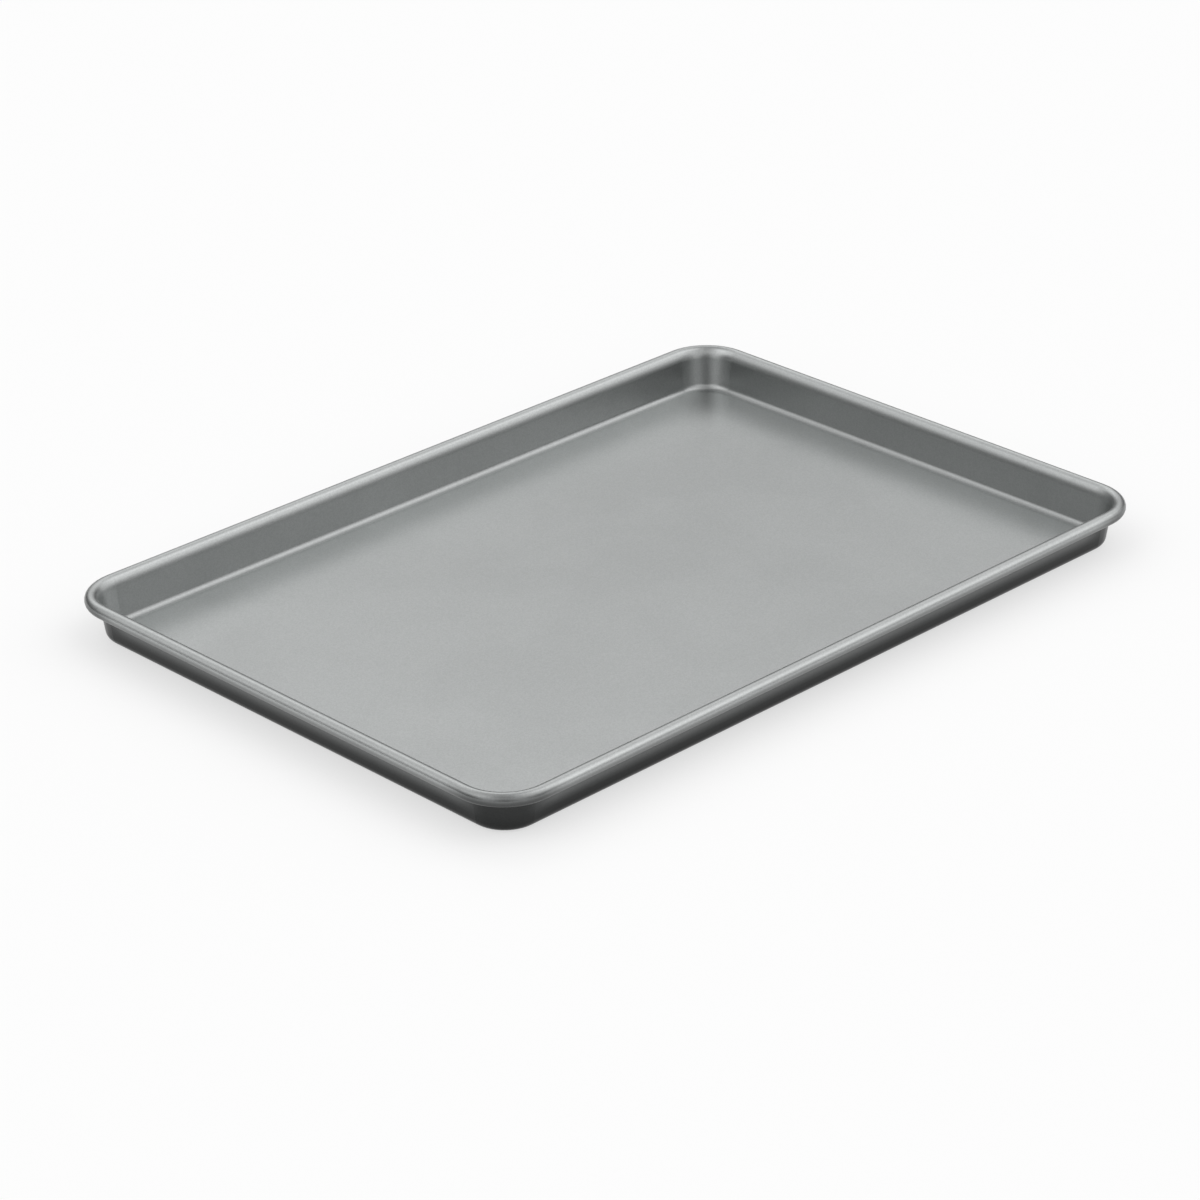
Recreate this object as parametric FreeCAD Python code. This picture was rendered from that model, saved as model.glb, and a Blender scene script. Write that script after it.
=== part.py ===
import FreeCAD, Part
import math
import os

# A jelly roll pan. One tray is drawn from a single steel sheet. The top of its wall opens out in
# a gentle lip, and the edge is rolled down round a steel wire that stiffens the rim. Sizes are
# in millimetres.
# X runs along the pan, Y across it and Z up. The origin is the middle of the underside.

# ---- sizes that drive the pan ----
RIM_LENGTH = 406.0       # outside of the rolled rim, end to end
RIM_WIDTH = 280.0        # outside of the rolled rim, side to side
PAN_HEIGHT = 21.5        # underside of the floor to the top of the rim
RIM_CORNER = 24.8        # plan radius of the corners, on the outside of the rim
SHEET = 0.8              # thickness of the steel sheet
WALL_DRAFT = 8.0         # degrees the walls lean outward, so that pans nest and cakes release
BASE_BEND = 4.0          # outside radius of the bend between the walls and the floor
LIP_RADIUS = 8.0         # tray-side radius of the lip that opens the wall out to the rim
LIP_LEAN = 40.0          # degrees the sheet leans outward where the lip meets the curl
WIRE_DIAMETER = 4.4      # steel wire inside the rim
WIRE_CLEARANCE = 0.1     # left all round the wire inside the curl
WIRE_END_GAP = 1.5       # between the two cut ends of the wire
CURL_WRAP = 290.0        # degrees the sheet turns round the wire, from lip to cut edge

# ---- sizes that follow from them ----
CURL_BORE = WIRE_DIAMETER / 2 + WIRE_CLEARANCE
CURL_RADIUS = CURL_BORE + SHEET
WIRE_HEIGHT = PAN_HEIGHT - CURL_RADIUS
WIRE_LENGTH = RIM_LENGTH - 2 * CURL_RADIUS
WIRE_WIDTH = RIM_WIDTH - 2 * CURL_RADIUS
WIRE_CORNER = RIM_CORNER - CURL_RADIUS
LIP_BACK = LIP_RADIUS - SHEET
WALL_FACING = math.pi - math.radians(WALL_DRAFT)
LIP_FACING = math.pi - math.radians(LIP_LEAN)
UP = FreeCAD.Vector(0, 0, 1)


def polar(centre, radius, angle):
    """Point of the cross-section at the given angle round a centre."""
    return centre + FreeCAD.Vector(math.cos(angle), 0, math.sin(angle)) * radius


def arc(centre, radius, first, last):
    """Arc of the cross-section from one angle to another round a centre."""
    angles = (first, (first + last) / 2, last)
    return Part.Arc(*[polar(centre, radius, angle) for angle in angles]).toShape()


def carried_round(section):
    """Carry a flat cross-section round the pan along the line of the rim wire.

    The section stands in the XZ plane with the wire's centre above the origin and the outside
    of the pan on its +X side. Each side is extruded and each corner is turned about its centre.
    """
    pieces = []
    for turn in range(4):
        reach, run = WIRE_LENGTH / 2, WIRE_WIDTH - 2 * WIRE_CORNER
        if turn % 2:
            reach, run = WIRE_WIDTH / 2, WIRE_LENGTH - 2 * WIRE_CORNER
        placed = section.copy()
        placed.translate(FreeCAD.Vector(reach, -run / 2, 0))
        side = placed.extrude(FreeCAD.Vector(0, run, 0))
        placed.translate(FreeCAD.Vector(0, run, 0))
        corner = placed.revolve(FreeCAD.Vector(reach - WIRE_CORNER, run / 2, 0), UP, 90)
        for piece in (side, corner):
            piece.rotate(FreeCAD.Vector(), UP, 90 * turn)
            pieces.append(piece)
    return pieces[0].multiFuse(pieces[1:])


def lip_centre():
    """Centre of the lip, which touches the curl's outside where the sheet leans by LIP_LEAN."""
    return polar(FreeCAD.Vector(0, 0, WIRE_HEIGHT), CURL_RADIUS - LIP_RADIUS, LIP_FACING)


def bend_centre():
    """Centre of the bend at the foot of the wall, on the inner side of the leaning wall."""
    top = polar(lip_centre(), LIP_BACK, WALL_FACING)
    draft = math.pi - WALL_FACING
    inward = (BASE_BEND + (top.z - BASE_BEND) * math.sin(draft)) / math.cos(draft)
    return FreeCAD.Vector(top.x - inward, 0, BASE_BEND)


def sheet_section():
    """Cross-section of the bend, the wall, the lip and the curl of the sheet."""
    wire = FreeCAD.Vector(0, 0, WIRE_HEIGHT)
    lip = lip_centre()
    bend = bend_centre()
    bend_inside = BASE_BEND - SHEET
    flat = -math.pi / 2
    foot = WALL_FACING - math.pi
    cut = LIP_FACING - math.radians(CURL_WRAP)
    return Part.Face(Part.Wire([
        arc(bend, BASE_BEND, flat, foot),
        Part.makeLine(polar(bend, BASE_BEND, foot), polar(lip, LIP_BACK, WALL_FACING)),
        arc(lip, LIP_BACK, WALL_FACING, LIP_FACING),
        arc(wire, CURL_BORE, LIP_FACING, cut),
        Part.makeLine(polar(wire, CURL_BORE, cut), polar(wire, CURL_RADIUS, cut)),
        arc(wire, CURL_RADIUS, cut, LIP_FACING),
        arc(lip, LIP_RADIUS, LIP_FACING, WALL_FACING),
        Part.makeLine(polar(lip, LIP_RADIUS, WALL_FACING), polar(bend, bend_inside, foot)),
        arc(bend, bend_inside, foot, flat),
        Part.makeLine(polar(bend, bend_inside, flat), polar(bend, BASE_BEND, flat)),
    ]))


def floor_slab():
    """Flat floor of the tray, reaching out to where the bend begins."""
    inset = -bend_centre().x
    length = WIRE_LENGTH - 2 * inset
    width = WIRE_WIDTH - 2 * inset
    slab = Part.makeBox(length, width, SHEET, FreeCAD.Vector(-length / 2, -width / 2, 0))
    uprights = [edge for edge in slab.Edges if edge.Length == SHEET]
    return slab.makeFillet(WIRE_CORNER - inset, uprights)


def make_pan():
    """The tray: floor, bend, leaning walls, lip and rolled edge, all of one sheet."""
    return carried_round(sheet_section()).fuse(floor_slab()).removeSplitter()


def make_rim_wire():
    """The stiffening wire, bent to the shape of the rim, its two ends almost meeting."""
    centre = FreeCAD.Vector(0, 0, WIRE_HEIGHT)
    across = FreeCAD.Vector(0, 1, 0)
    circle = Part.Circle(centre, across, WIRE_DIAMETER / 2).toShape()
    wire = carried_round(Part.Face(Part.Wire(circle)))
    corner = FreeCAD.Vector(WIRE_LENGTH / 2 - WIRE_DIAMETER, -WIRE_END_GAP / 2, 0)
    gap = Part.makeBox(2 * WIRE_DIAMETER, WIRE_END_GAP, PAN_HEIGHT, corner)
    return wire.cut(gap).removeSplitter()


os.makedirs("parts", exist_ok=True)
for name, make in (("pan", make_pan), ("rim_wire", make_rim_wire)):
    shape = make()
    box = shape.optimalBoundingBox(False)
    print(name, shape.isValid(), len(shape.Solids), len(shape.Faces), round(shape.Volume, 1),
          [round(v, 3) for v in (box.XMin, box.XMax, box.YMin, box.YMax, box.ZMin, box.ZMax)])
    shape.exportStep(os.path.join("parts", name + ".step"))
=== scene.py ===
# %% [markdown]
# # A jelly roll pan
# A shallow baking tray is drawn from one sheet of steel, and its edge is rolled round a wire.
# The two real pieces, the tray and the wire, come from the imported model. This script gives
# them their finishes, stands them on a pale floor and lights them softly.

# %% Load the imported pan
import math

import bmesh
import bpy
from mathutils import Matrix, Vector


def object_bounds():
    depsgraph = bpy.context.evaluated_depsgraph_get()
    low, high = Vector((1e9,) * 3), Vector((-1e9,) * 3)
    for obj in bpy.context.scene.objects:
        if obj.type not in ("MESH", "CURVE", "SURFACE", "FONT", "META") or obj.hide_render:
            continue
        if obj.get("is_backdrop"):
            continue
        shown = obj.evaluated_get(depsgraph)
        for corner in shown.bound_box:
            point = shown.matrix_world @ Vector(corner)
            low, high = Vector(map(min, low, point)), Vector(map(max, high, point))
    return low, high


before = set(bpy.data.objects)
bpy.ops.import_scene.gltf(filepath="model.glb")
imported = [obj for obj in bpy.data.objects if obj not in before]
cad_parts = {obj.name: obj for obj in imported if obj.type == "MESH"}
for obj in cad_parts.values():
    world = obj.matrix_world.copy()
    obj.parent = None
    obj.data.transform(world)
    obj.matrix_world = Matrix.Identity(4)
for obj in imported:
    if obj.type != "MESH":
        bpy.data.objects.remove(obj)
cad_box = [list(corner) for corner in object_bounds()]
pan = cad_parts["pan"]
rim_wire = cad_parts["rim_wire"]
scene = bpy.context.scene
print("pan measures", [round(b - a, 4) for a, b in zip(*cad_box)], "m")

# %% [markdown]
# ## The camera
# The pan is seen from beyond one corner, a little above it, through a long lens. The camera is
# placed by turning a viewing direction about the pan. A hair of roll follows the photograph.

# %% Stand the camera beyond the near corner
VIEW_AZIMUTH = math.radians(-44.525)
VIEW_HEIGHT = math.radians(26.169)
VIEW_ROLL = math.radians(-0.5897)
LENS = 118.763
EYE = Vector((-1.12431, -1.13235, 0.77746))


def camera_axes(azimuth, height, roll):
    """Right, up and backward directions of a camera that looks down at the pan."""
    level_back = Vector((math.sin(azimuth), -math.cos(azimuth), 0))
    back = level_back * math.cos(height) + Vector((0, 0, math.sin(height)))
    level = (-back).cross(Vector((0, 0, 1))).normalized()
    upright = back.cross(level)
    right = level * math.cos(roll) + upright * math.sin(roll)
    up = upright * math.cos(roll) - level * math.sin(roll)
    return right, up, back


eye_data = bpy.data.cameras.new("eye")
eye_data.lens = LENS
eye_data.sensor_width = 36.0
eye_data.clip_end = 20.0
eye = bpy.data.objects.new("eye", eye_data)
scene.collection.objects.link(eye)
right, up, back = camera_axes(VIEW_AZIMUTH, VIEW_HEIGHT, VIEW_ROLL)
turn = Matrix((right, up, back)).transposed().to_4x4()
eye.matrix_world = Matrix.Translation(EYE) @ turn
scene.camera = eye
print("camera is", round(EYE.length, 3), "m from the pan")

# %% [markdown]
# ## Small helpers for shader nodes
# A finish is a small graph of nodes. These helpers keep the graphs short: one adds a node with
# its settings, one joins two sockets, one adds a ramp between two values, and one does a sum.
# Each works in a material and inside a node group alike.

# %% Helpers for node graphs


def node(tree, kind, values=None, **settings):
    """Add a shader node, set its properties, and set the inputs named in values."""
    made = tree.nodes.new(kind)
    made.location = (len(tree.nodes) * 180 - 1200, 0)
    for name, value in settings.items():
        setattr(made, name, value)
    for name, value in (values or {}).items():
        made.inputs[name].default_value = value
    return made


def join(tree, source, target):
    """Join an output socket to an input socket."""
    tree.links.new(source, target)


def ramp(tree, source, low, high, to_low=0.0, to_high=1.0):
    """Map a value from low..high to to_low..to_high with soft ends, and return the result."""
    limits = {"From Min": low, "From Max": high, "To Min": to_low, "To Max": to_high}
    made = node(tree, "ShaderNodeMapRange", limits, interpolation_type="SMOOTHSTEP")
    join(tree, source, made.inputs["Value"])
    return made.outputs["Result"]


def arithmetic(tree, kind, first, second):
    """Combine two values, each a socket or a number, with a Math node."""
    made = node(tree, "ShaderNodeMath", operation=kind)
    for socket, value in zip(made.inputs, (first, second)):
        if isinstance(value, bpy.types.NodeSocket):
            join(tree, value, socket)
        else:
            socket.default_value = value
    return made.outputs["Value"]


# %% [markdown]
# ## Helpers for shared effects
# The tray and the wire share some effects, such as grain. Each of these is a node group: it is
# built once, with named inputs and outputs, and then placed in each material with its own
# values. One helper starts a group, and one places it.

# %% Helpers for node groups


def new_group(name, inputs, outputs):
    """Start a node group. Inputs are (label, socket type, value), outputs (label, type)."""
    group = bpy.data.node_groups.new(name, "ShaderNodeTree")
    for label, kind, value in inputs:
        socket = group.interface.new_socket(label, in_out="INPUT", socket_type=kind)
        if value is not None:
            socket.default_value = value
    for label, kind in outputs:
        group.interface.new_socket(label, in_out="OUTPUT", socket_type=kind)
    return group, group.nodes.new("NodeGroupInput"), group.nodes.new("NodeGroupOutput")


def place_group(tree, group, place, values):
    """Put a node group in a material, reading the given coordinates."""
    made = tree.nodes.new("ShaderNodeGroup")
    made.node_tree = group
    join(tree, place, made.inputs["Place"])
    for name, value in values.items():
        made.inputs[name].default_value = value
    return made.outputs


# %% [markdown]
# ## Fine grain, an effect that both finishes share
# Under a lens neither finish is smooth. A sprayed film dries with a fine orange peel and holds
# specks of metal flake, and drawn wire has pits and grain. One group makes both: fine noise for
# the peel, and small cells, each with its own brightness, for the flakes or grains. It puts out
# a height for a bump and a speck value for the colour.

# %% Fine grain group
grain, start, end = new_group(
    "fine_grain",
    [("Place", "NodeSocketVector", None), ("Grains per metre", "NodeSocketFloat", 2500.0)],
    [("Height", "NodeSocketFloat"), ("Speck", "NodeSocketFloat")])
PEEL_TO_GRAIN = 0.4
peel = node(grain, "ShaderNodeTexNoise", {"Detail": 2.0})
join(grain, start.outputs["Place"], peel.inputs["Vector"])
peel_scale = arithmetic(grain, "MULTIPLY", start.outputs["Grains per metre"], PEEL_TO_GRAIN)
join(grain, peel_scale, peel.inputs["Scale"])
cells = node(grain, "ShaderNodeTexVoronoi", feature="F1")
join(grain, start.outputs["Place"], cells.inputs["Vector"])
join(grain, start.outputs["Grains per metre"], cells.inputs["Scale"])
tone = node(grain, "ShaderNodeSeparateXYZ")
join(grain, cells.outputs["Color"], tone.inputs[0])
join(grain, peel.outputs["Fac"], end.inputs["Height"])
join(grain, tone.outputs["X"], end.inputs["Speck"])
print("fine grain group has", len(grain.nodes), "nodes")

# %% [markdown]
# ## Cloudy unevenness, shared
# No coat or bare metal has one even tone over a whole hand's breadth. Broad soft noise, with a
# finer layer in it, makes the slow patches that show when light glances off.

# %% Cloudy patches group
clouds, start, end = new_group(
    "cloudy_patches",
    [("Place", "NodeSocketVector", None), ("Patches per metre", "NodeSocketFloat", 18.0)],
    [("Patch", "NodeSocketFloat")])
broad = node(clouds, "ShaderNodeTexNoise", {"Detail": 4.0, "Roughness": 0.55, "Distortion": 0.6})
join(clouds, start.outputs["Place"], broad.inputs["Vector"])
join(clouds, start.outputs["Patches per metre"], broad.inputs["Scale"])
join(clouds, ramp(clouds, broad.outputs["Fac"], 0.3, 0.7), end.inputs["Patch"])
print("cloudy patches group has", len(clouds.nodes), "nodes")

# %% [markdown]
# ## Rub marks, shared
# Handling, stacking and wiping leave thin, nearly straight marks in many directions. Noise that
# is squeezed along one direction gives long thin streaks, and only its peaks are kept, so that
# the marks are few. Two sets at different turns cross each other.

# %% Rub marks group
rubs, start, end = new_group(
    "rub_marks",
    [("Place", "NodeSocketVector", None), ("Marks per metre", "NodeSocketFloat", 900.0)],
    [("Mark", "NodeSocketFloat")])
MARK_ANGLES = (20, 78)
SQUEEZE = (0.03, 1, 1)
sets = []
for angle in MARK_ANGLES:
    turn_and_squeeze = {"Rotation": (0, 0, math.radians(angle)), "Scale": SQUEEZE}
    turned = node(rubs, "ShaderNodeMapping", turn_and_squeeze)
    join(rubs, start.outputs["Place"], turned.inputs["Vector"])
    streaks = node(rubs, "ShaderNodeTexNoise", {"Detail": 1.0})
    join(rubs, turned.outputs["Vector"], streaks.inputs["Vector"])
    join(rubs, start.outputs["Marks per metre"], streaks.inputs["Scale"])
    sets.append(ramp(rubs, streaks.outputs["Fac"], 0.68, 0.9))
join(rubs, arithmetic(rubs, "MAXIMUM", *sets), end.inputs["Mark"])
print("rub marks group has", len(rubs.nodes), "nodes")

# %% [markdown]
# ## The non-stick coating
# The sheet is coated before it is pressed. Inside and over the rim it is a silver-grey film
# full of fine metal flake, which shines broadly, like satin metal. The outside carries painted
# shade: its tone is darkest at the foot of the wall and under the floor and grows lighter up the
# wall, with a painted highlight on the outside of the bead that is lighter than the silver. At
# the corners the painted shade stays dark all the way up.
#
# The first cell holds these painted tones of the outside, each with its height in millimetres.

# %% Painted shade and highlight tones of the outside
SILVER = (0.41, 0.422, 0.42, 1)
SIDE_SHADE_AND_HIGHLIGHT_TONES = (
    (4.0, 0.03), (6.0, 0.035), (8.0, 0.075), (10.0, 0.135), (12.0, 0.155), (16.5, 0.17),
    (18.2, 0.27), (19.0, 0.41), (19.6, 0.5), (20.2, 0.45), (20.8, 0.405))
CORNER_PAINTED_SHADE_TONES = (
    (4.0, 0.036), (8.0, 0.042), (12.0, 0.046), (16.5, 0.07), (18.2, 0.11), (19.2, 0.2),
    (20.8, 0.27), (21.4, 0.42))
PAN_TOP = 0.0215
print(len(SIDE_SHADE_AND_HIGHLIGHT_TONES), "tones up the sides and", len(CORNER_PAINTED_SHADE_TONES), "up the corners")


def painted_tones_by_height(tree, height, tones):
    """Painted shade and highlight of the outside at a height, from tones given in millimetres.
    """
    share = arithmetic(tree, "DIVIDE", height, PAN_TOP)
    made = node(tree, "ShaderNodeValToRGB")
    join(tree, share, made.inputs["Fac"])
    stops = made.color_ramp.elements
    while len(stops) < len(tones):
        stops.new(0.5)
    for stop, (millimetres, tone) in zip(stops, tones):
        stop.position = millimetres / 1000 / PAN_TOP
        stop.color = tuple(tone * part / SILVER[1] for part in SILVER[:3]) + (1,)
    return made.outputs["Color"]


# %% [markdown]
# A face is on the outside if it looks away from the middle of the pan, or down. One dot product
# tells: the normal against the level direction from the middle, with a steady share of down.

# %% Which faces take the painted shade
LEVEL = (1, 1, 0)
SHARE_OF_DOWN = (0, 0, -0.12)
coated = bpy.data.materials.new("coated_sheet")
coated.use_nodes = True
tree = coated.node_tree
skin = tree.nodes["Principled BSDF"]
skin.inputs["Metallic"].default_value = 1.0
place = node(tree, "ShaderNodeTexCoord").outputs["Object"]
normal = node(tree, "ShaderNodeNewGeometry").outputs["Normal"]
away = node(tree, "ShaderNodeVectorMath", {1: LEVEL, 2: SHARE_OF_DOWN}, operation="MULTIPLY_ADD")
join(tree, place, away.inputs[0])
outward = node(tree, "ShaderNodeVectorMath", operation="DOT_PRODUCT")
join(tree, normal, outward.inputs[0])
join(tree, away.outputs["Vector"], outward.inputs[1])
outside = ramp(tree, outward.outputs["Value"], -0.03, 0.03)
print("the mask of the outside has", len(tree.nodes) - 2, "nodes")

# %% [markdown]
# The corner's painted shade takes over from the side's on the last stretch before the rim turns.
# A point is in a corner if it lies beyond the start of the turn both along the pan and across
# it, so the smaller of the two distances past that start decides. The silver lies inside.

# %% Silver and the painted shade of the outside
TURN_START = (0.1782, 0.1152, 0)
mirrored = node(tree, "ShaderNodeVectorMath", operation="ABSOLUTE")
join(tree, place, mirrored.inputs[0])
past = node(tree, "ShaderNodeVectorMath", {1: TURN_START}, operation="SUBTRACT")
join(tree, mirrored.outputs["Vector"], past.inputs[0])
reach = node(tree, "ShaderNodeSeparateXYZ")
join(tree, past.outputs["Vector"], reach.inputs[0])
deepest = arithmetic(tree, "MINIMUM", reach.outputs["X"], reach.outputs["Y"])
height = reach.outputs["Z"]
# painted shade and highlight: the outside's tone set by height, darker at the corners
outside_painted_shade = node(tree, "ShaderNodeMix", data_type="RGBA")
join(tree, ramp(tree, deepest, -0.014, 0.006), outside_painted_shade.inputs["Factor"])
join(tree, painted_tones_by_height(tree, height, SIDE_SHADE_AND_HIGHLIGHT_TONES), outside_painted_shade.inputs[6])
join(tree, painted_tones_by_height(tree, height, CORNER_PAINTED_SHADE_TONES), outside_painted_shade.inputs[7])
silver_and_painted_shade = node(tree, "ShaderNodeMix", data_type="RGBA")
join(tree, outside, silver_and_painted_shade.inputs["Factor"])
silver_and_painted_shade.inputs[6].default_value = SILVER
join(tree, outside_painted_shade.outputs[2], silver_and_painted_shade.inputs[7])
print("the corners' tones start", TURN_START[:2], "m from the middle")

# %% [markdown]
# The tone of the film drifts by a few percent in soft patches, and each flake is a little
# lighter or darker than the next. The foot of the bend is given painted shade, a little darker,
# which dims the bright line it catches. All of these only multiply the colour, so they serve
# the silver and the outside alike. The shine changes too: rub marks and thin patches are
# smoother than the rest.

# %% Tone and shine of the film
BEND_STARTS = (0.0008, 0.0011)
BEND_ENDS = (0.0017, 0.003)
BEND_PAINTED_SHADE = 0.8
specks = place_group(tree, grain, place, {"Grains per metre": 2200.0})
patches = place_group(tree, clouds, place, {"Patches per metre": 16.0})
marks = place_group(tree, rubs, place, {"Marks per metre": 700.0})
drift = ramp(tree, patches["Patch"], 0.0, 1.0, 0.978, 1.022)
sparkle = ramp(tree, specks["Speck"], 0.0, 1.0, 0.94, 1.06)
shade = arithmetic(tree, "MULTIPLY", drift, sparkle)
into_bend = ramp(tree, height, *BEND_STARTS)
out_of_bend = ramp(tree, height, *BEND_ENDS)
bend_shade_mask = arithmetic(tree, "SUBTRACT", into_bend, out_of_bend)
# painted shade at the foot of the bend
shade = arithmetic(tree, "MULTIPLY", shade, ramp(tree, bend_shade_mask, 0.0, 1.0, 1.0, BEND_PAINTED_SHADE))
film = node(tree, "ShaderNodeVectorMath", operation="SCALE")
join(tree, silver_and_painted_shade.outputs[2], film.inputs[0])
join(tree, shade, film.inputs["Scale"])
join(tree, film.outputs["Vector"], skin.inputs["Base Color"])
dull = ramp(tree, patches["Patch"], 0.0, 1.0, 0.295, 0.315)
worn = arithmetic(tree, "MULTIPLY", marks["Mark"], -0.02)
join(tree, arithmetic(tree, "ADD", dull, worn), skin.inputs["Roughness"])
print("the bend's foot, up to", BEND_ENDS[1] * 1000, "mm, has", BEND_PAINTED_SHADE, "of the tone")

# %% [markdown]
# Two bumps finish it. The fine one is the orange peel of the sprayed film, a few micrometres
# high. The broad one is the slight waviness that thin pressed sheet always has, and it makes
# the reflection in the floor of the tray drift softly.

# %% Relief of the film
WAVE_HEIGHT = 0.0006
PEEL_HEIGHT = 0.00003
waves = node(tree, "ShaderNodeTexNoise", {"Scale": 9.0, "Detail": 1.0})
join(tree, place, waves.inputs["Vector"])
wavy = node(tree, "ShaderNodeBump", {"Strength": 0.35, "Distance": WAVE_HEIGHT})
join(tree, waves.outputs["Fac"], wavy.inputs["Height"])
peeled = node(tree, "ShaderNodeBump", {"Strength": 0.4, "Distance": PEEL_HEIGHT})
join(tree, specks["Height"], peeled.inputs["Height"])
join(tree, wavy.outputs["Normal"], peeled.inputs["Normal"])
join(tree, peeled.outputs["Normal"], skin.inputs["Normal"])
pan.data.materials.clear()
pan.data.materials.append(coated)
print("coated sheet has", len(tree.nodes), "nodes")

# %% [markdown]
# ## The rim wire
# Inside the curl runs a plain drawn steel wire. It is bare metal, greyed a little by the oven,
# and it is seen only through the slit between the curl and the wall. The same three groups
# serve it with finer grain, closer patches and more marks.

# %% Drawn steel wire
STEEL = (0.5, 0.49, 0.48, 1)
TARNISH = (0.24, 0.21, 0.19, 1)
PIT_DEPTH = 0.00002
drawn = bpy.data.materials.new("drawn_wire")
drawn.use_nodes = True
tree = drawn.node_tree
steel = tree.nodes["Principled BSDF"]
steel.inputs["Metallic"].default_value = 1.0
place = node(tree, "ShaderNodeTexCoord").outputs["Object"]
specks = place_group(tree, grain, place, {"Grains per metre": 3500.0})
patches = place_group(tree, clouds, place, {"Patches per metre": 60.0})
marks = place_group(tree, rubs, place, {"Marks per metre": 1500.0})
tarnished = node(tree, "ShaderNodeMix", data_type="RGBA")
join(tree, ramp(tree, patches["Patch"], 0.2, 1.0, 0.0, 0.7), tarnished.inputs["Factor"])
tarnished.inputs[6].default_value = STEEL
tarnished.inputs[7].default_value = TARNISH
join(tree, tarnished.outputs[2], steel.inputs["Base Color"])
greyed = ramp(tree, patches["Patch"], 0.0, 1.0, 0.26, 0.42)
bright = arithmetic(tree, "MULTIPLY", marks["Mark"], -0.08)
join(tree, arithmetic(tree, "ADD", greyed, bright), steel.inputs["Roughness"])
pitted = node(tree, "ShaderNodeBump", {"Strength": 0.3, "Distance": PIT_DEPTH})
join(tree, specks["Height"], pitted.inputs["Height"])
join(tree, pitted.outputs["Normal"], steel.inputs["Normal"])
rim_wire.data.materials.clear()
rim_wire.data.materials.append(drawn)
print("drawn wire has", len(tree.nodes), "nodes")

# %% [markdown]
# ## The floor
# A wide pale sheet stands in for a studio table. The photograph's ground is pure white, so most
# of what the eye and the metal see of the paper is plain white, and the rest is the lit paper,
# which keeps the pan's soft shadow. It lies a tenth of a millimetre below the pan, because two
# faces in one plane fight over each pixel. From below it is clear, so that the pan's underside
# can be looked at.

# %% Pale floor
FLOOR_REACH = 6.0
UNDER_PAN = Matrix.Translation((0, 0, -0.0001))
floor_mesh = bmesh.new()
bmesh.ops.create_grid(
    floor_mesh, x_segments=1, y_segments=1, size=FLOOR_REACH, matrix=UNDER_PAN)
floor_data = bpy.data.meshes.new("floor")
floor_mesh.to_mesh(floor_data)
floor_mesh.free()
floor = bpy.data.objects.new("floor", floor_data)
scene.collection.objects.link(floor)
floor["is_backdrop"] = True
print("the floor reaches", FLOOR_REACH, "m each way")

# %% White paper, clear from below
PAPER_TONE = (0.93, 0.93, 0.93, 1)
WHITE_SHARE = 0.6
paper = bpy.data.materials.new("white_paper")
paper.use_nodes = True
tree = paper.node_tree
sheet = tree.nodes["Principled BSDF"]
sheet.inputs["Base Color"].default_value = PAPER_TONE
sheet.inputs["Roughness"].default_value = 1.0
sheet.inputs["Specular IOR Level"].default_value = 0.0
rays = node(tree, "ShaderNodeLightPath").outputs
seen = arithmetic(tree, "MAXIMUM", rays["Is Camera Ray"], rays["Is Glossy Ray"])
seen = arithmetic(tree, "MAXIMUM", seen, rays["Is Transmission Ray"])
whiteness = node(tree, "ShaderNodeEmission", {"Color": (1, 1, 1, 1), "Strength": 1.0})
ground = node(tree, "ShaderNodeMixShader")
join(tree, arithmetic(tree, "MULTIPLY", seen, WHITE_SHARE), ground.inputs["Fac"])
join(tree, sheet.outputs["BSDF"], ground.inputs[1])
join(tree, whiteness.outputs["Emission"], ground.inputs[2])
clear = node(tree, "ShaderNodeBsdfTransparent")
below = node(tree, "ShaderNodeNewGeometry").outputs["Backfacing"]
one_sided = node(tree, "ShaderNodeMixShader")
join(tree, below, one_sided.inputs["Fac"])
join(tree, ground.outputs["Shader"], one_sided.inputs[1])
join(tree, clear.outputs["BSDF"], one_sided.inputs[2])
join(tree, one_sided.outputs["Shader"], tree.nodes["Material Output"].inputs["Surface"])
floor.data.materials.append(paper)
print("the paper has", len(tree.nodes), "nodes")

# %% [markdown]
# ## Studio light
# The light is a soft sky of wide softboxes that overlap. It is strongest half way up, behind
# the pan and at its two sides, and dim low down behind it. A metal surface shows what it faces,
# so this shading is what makes the tray read as metal.

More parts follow.
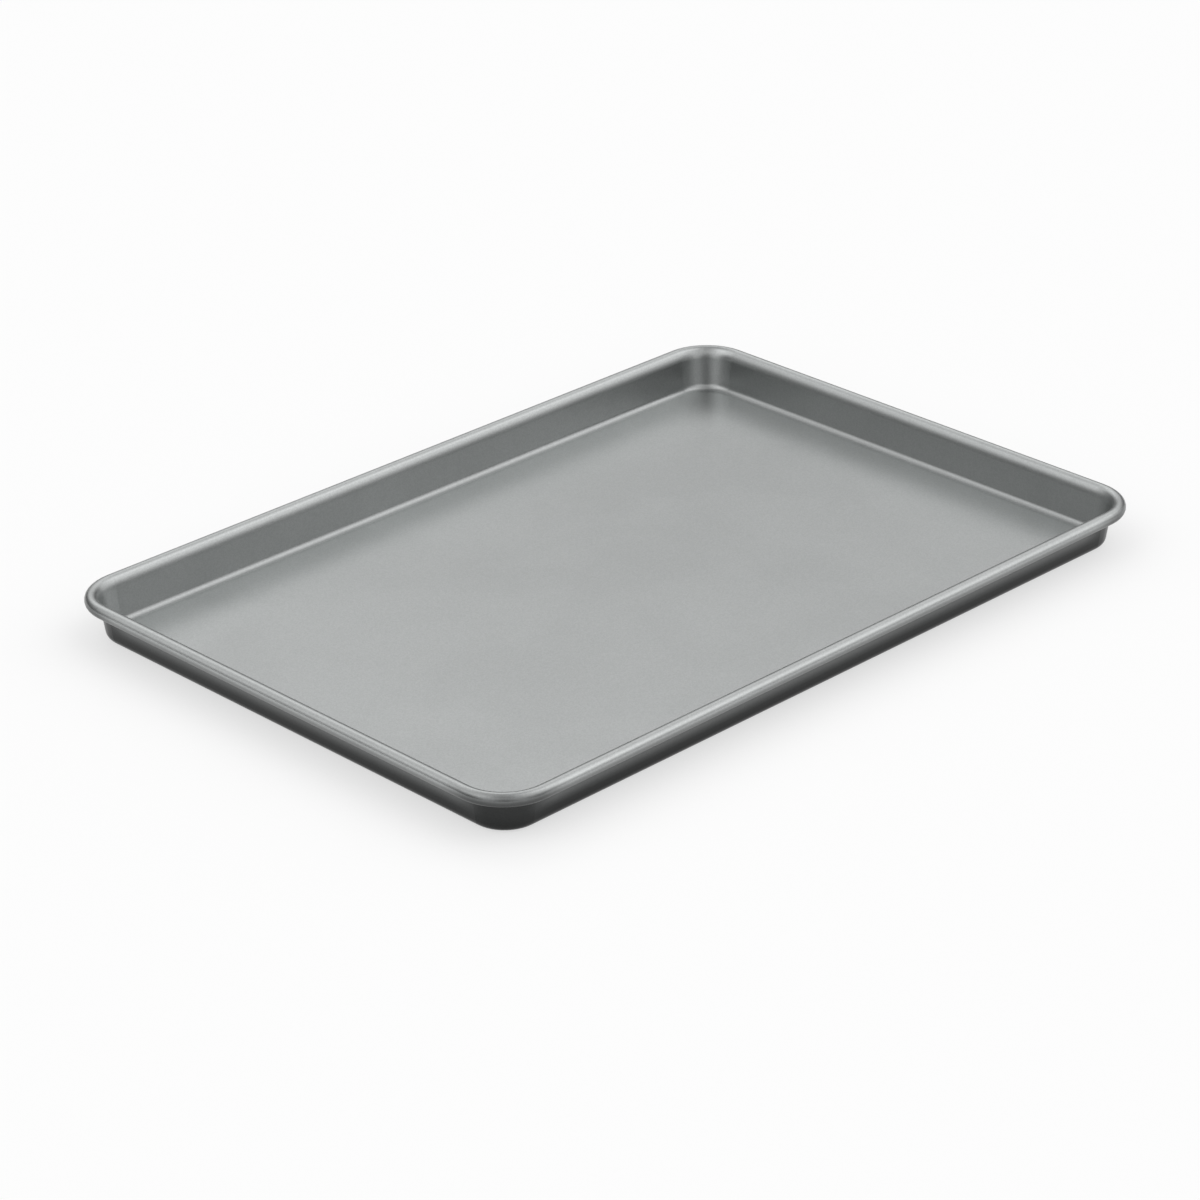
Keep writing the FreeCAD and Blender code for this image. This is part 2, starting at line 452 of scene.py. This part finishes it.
# %% Soft studio sky
# Each softbox: degrees round from straight behind the pan, clockwise, degrees up, and strength.
SOFTBOXES = (
    (0, 12, 0.14), (60, 12, 0.92), (90, 12, 0.52), (120, 12, 0.31), (150, 12, 0.89),
    (210, 12, 0.99), (270, 12, 0.30), (300, 12, 0.19), (330, 12, 0.14), (15, 38, 1.22),
    (51, 38, 0.86), (87, 38, 1.65), (123, 38, 0.80), (159, 38, 0.74), (195, 38, 0.65),
    (231, 38, 1.42), (267, 38, 1.25), (303, 38, 0.65), (339, 38, 1.51), (0, 64, 0.16),
    (60, 64, 0.89), (120, 64, 1.30), (240, 64, 1.13), (300, 64, 0.54))
SPREAD = 20.0
behind = VIEW_AZIMUTH + math.pi / 2
sky = bpy.data.worlds.new("studio")
scene.world = sky
sky.use_nodes = True
tree = sky.node_tree
looking = node(tree, "ShaderNodeTexCoord").outputs["Generated"]
light = 0.0
for round_from_back, degrees_up, strength in SOFTBOXES:
    around, rise = behind - math.radians(round_from_back), math.radians(degrees_up)
    axis = (math.cos(around) * math.cos(rise), math.sin(around) * math.cos(rise), math.sin(rise))
    aim = node(tree, "ShaderNodeVectorMath", operation="DOT_PRODUCT")
    aim.inputs[1].default_value = axis
    join(tree, looking, aim.inputs[0])
    facing_box = arithmetic(tree, "MAXIMUM", aim.outputs["Value"], 0.0)
    soft_edge = arithmetic(tree, "POWER", facing_box, SPREAD)
    light = arithmetic(tree, "ADD", arithmetic(tree, "MULTIPLY", soft_edge, strength), light)
glow = tree.nodes["Background"]
glow.inputs["Color"].default_value = (1, 1, 1, 1)
join(tree, light, glow.inputs["Strength"])
print(len(SOFTBOXES), "softboxes light the pan")

# %% [markdown]
# ## Finish
# Both boxes, the imported model's and the dressed scene's, are measured and compared. The
# visual model has to stay inside the imported model's box.

# %% Check the size and finish
scene.view_settings.view_transform = "Standard"
dressed_box = [list(corner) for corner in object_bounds()]
both = zip(cad_box[0] + cad_box[1], dressed_box[0] + dressed_box[1])
print("size kept:", all(abs(packed - dressed) < 1e-4 for packed, dressed in both))
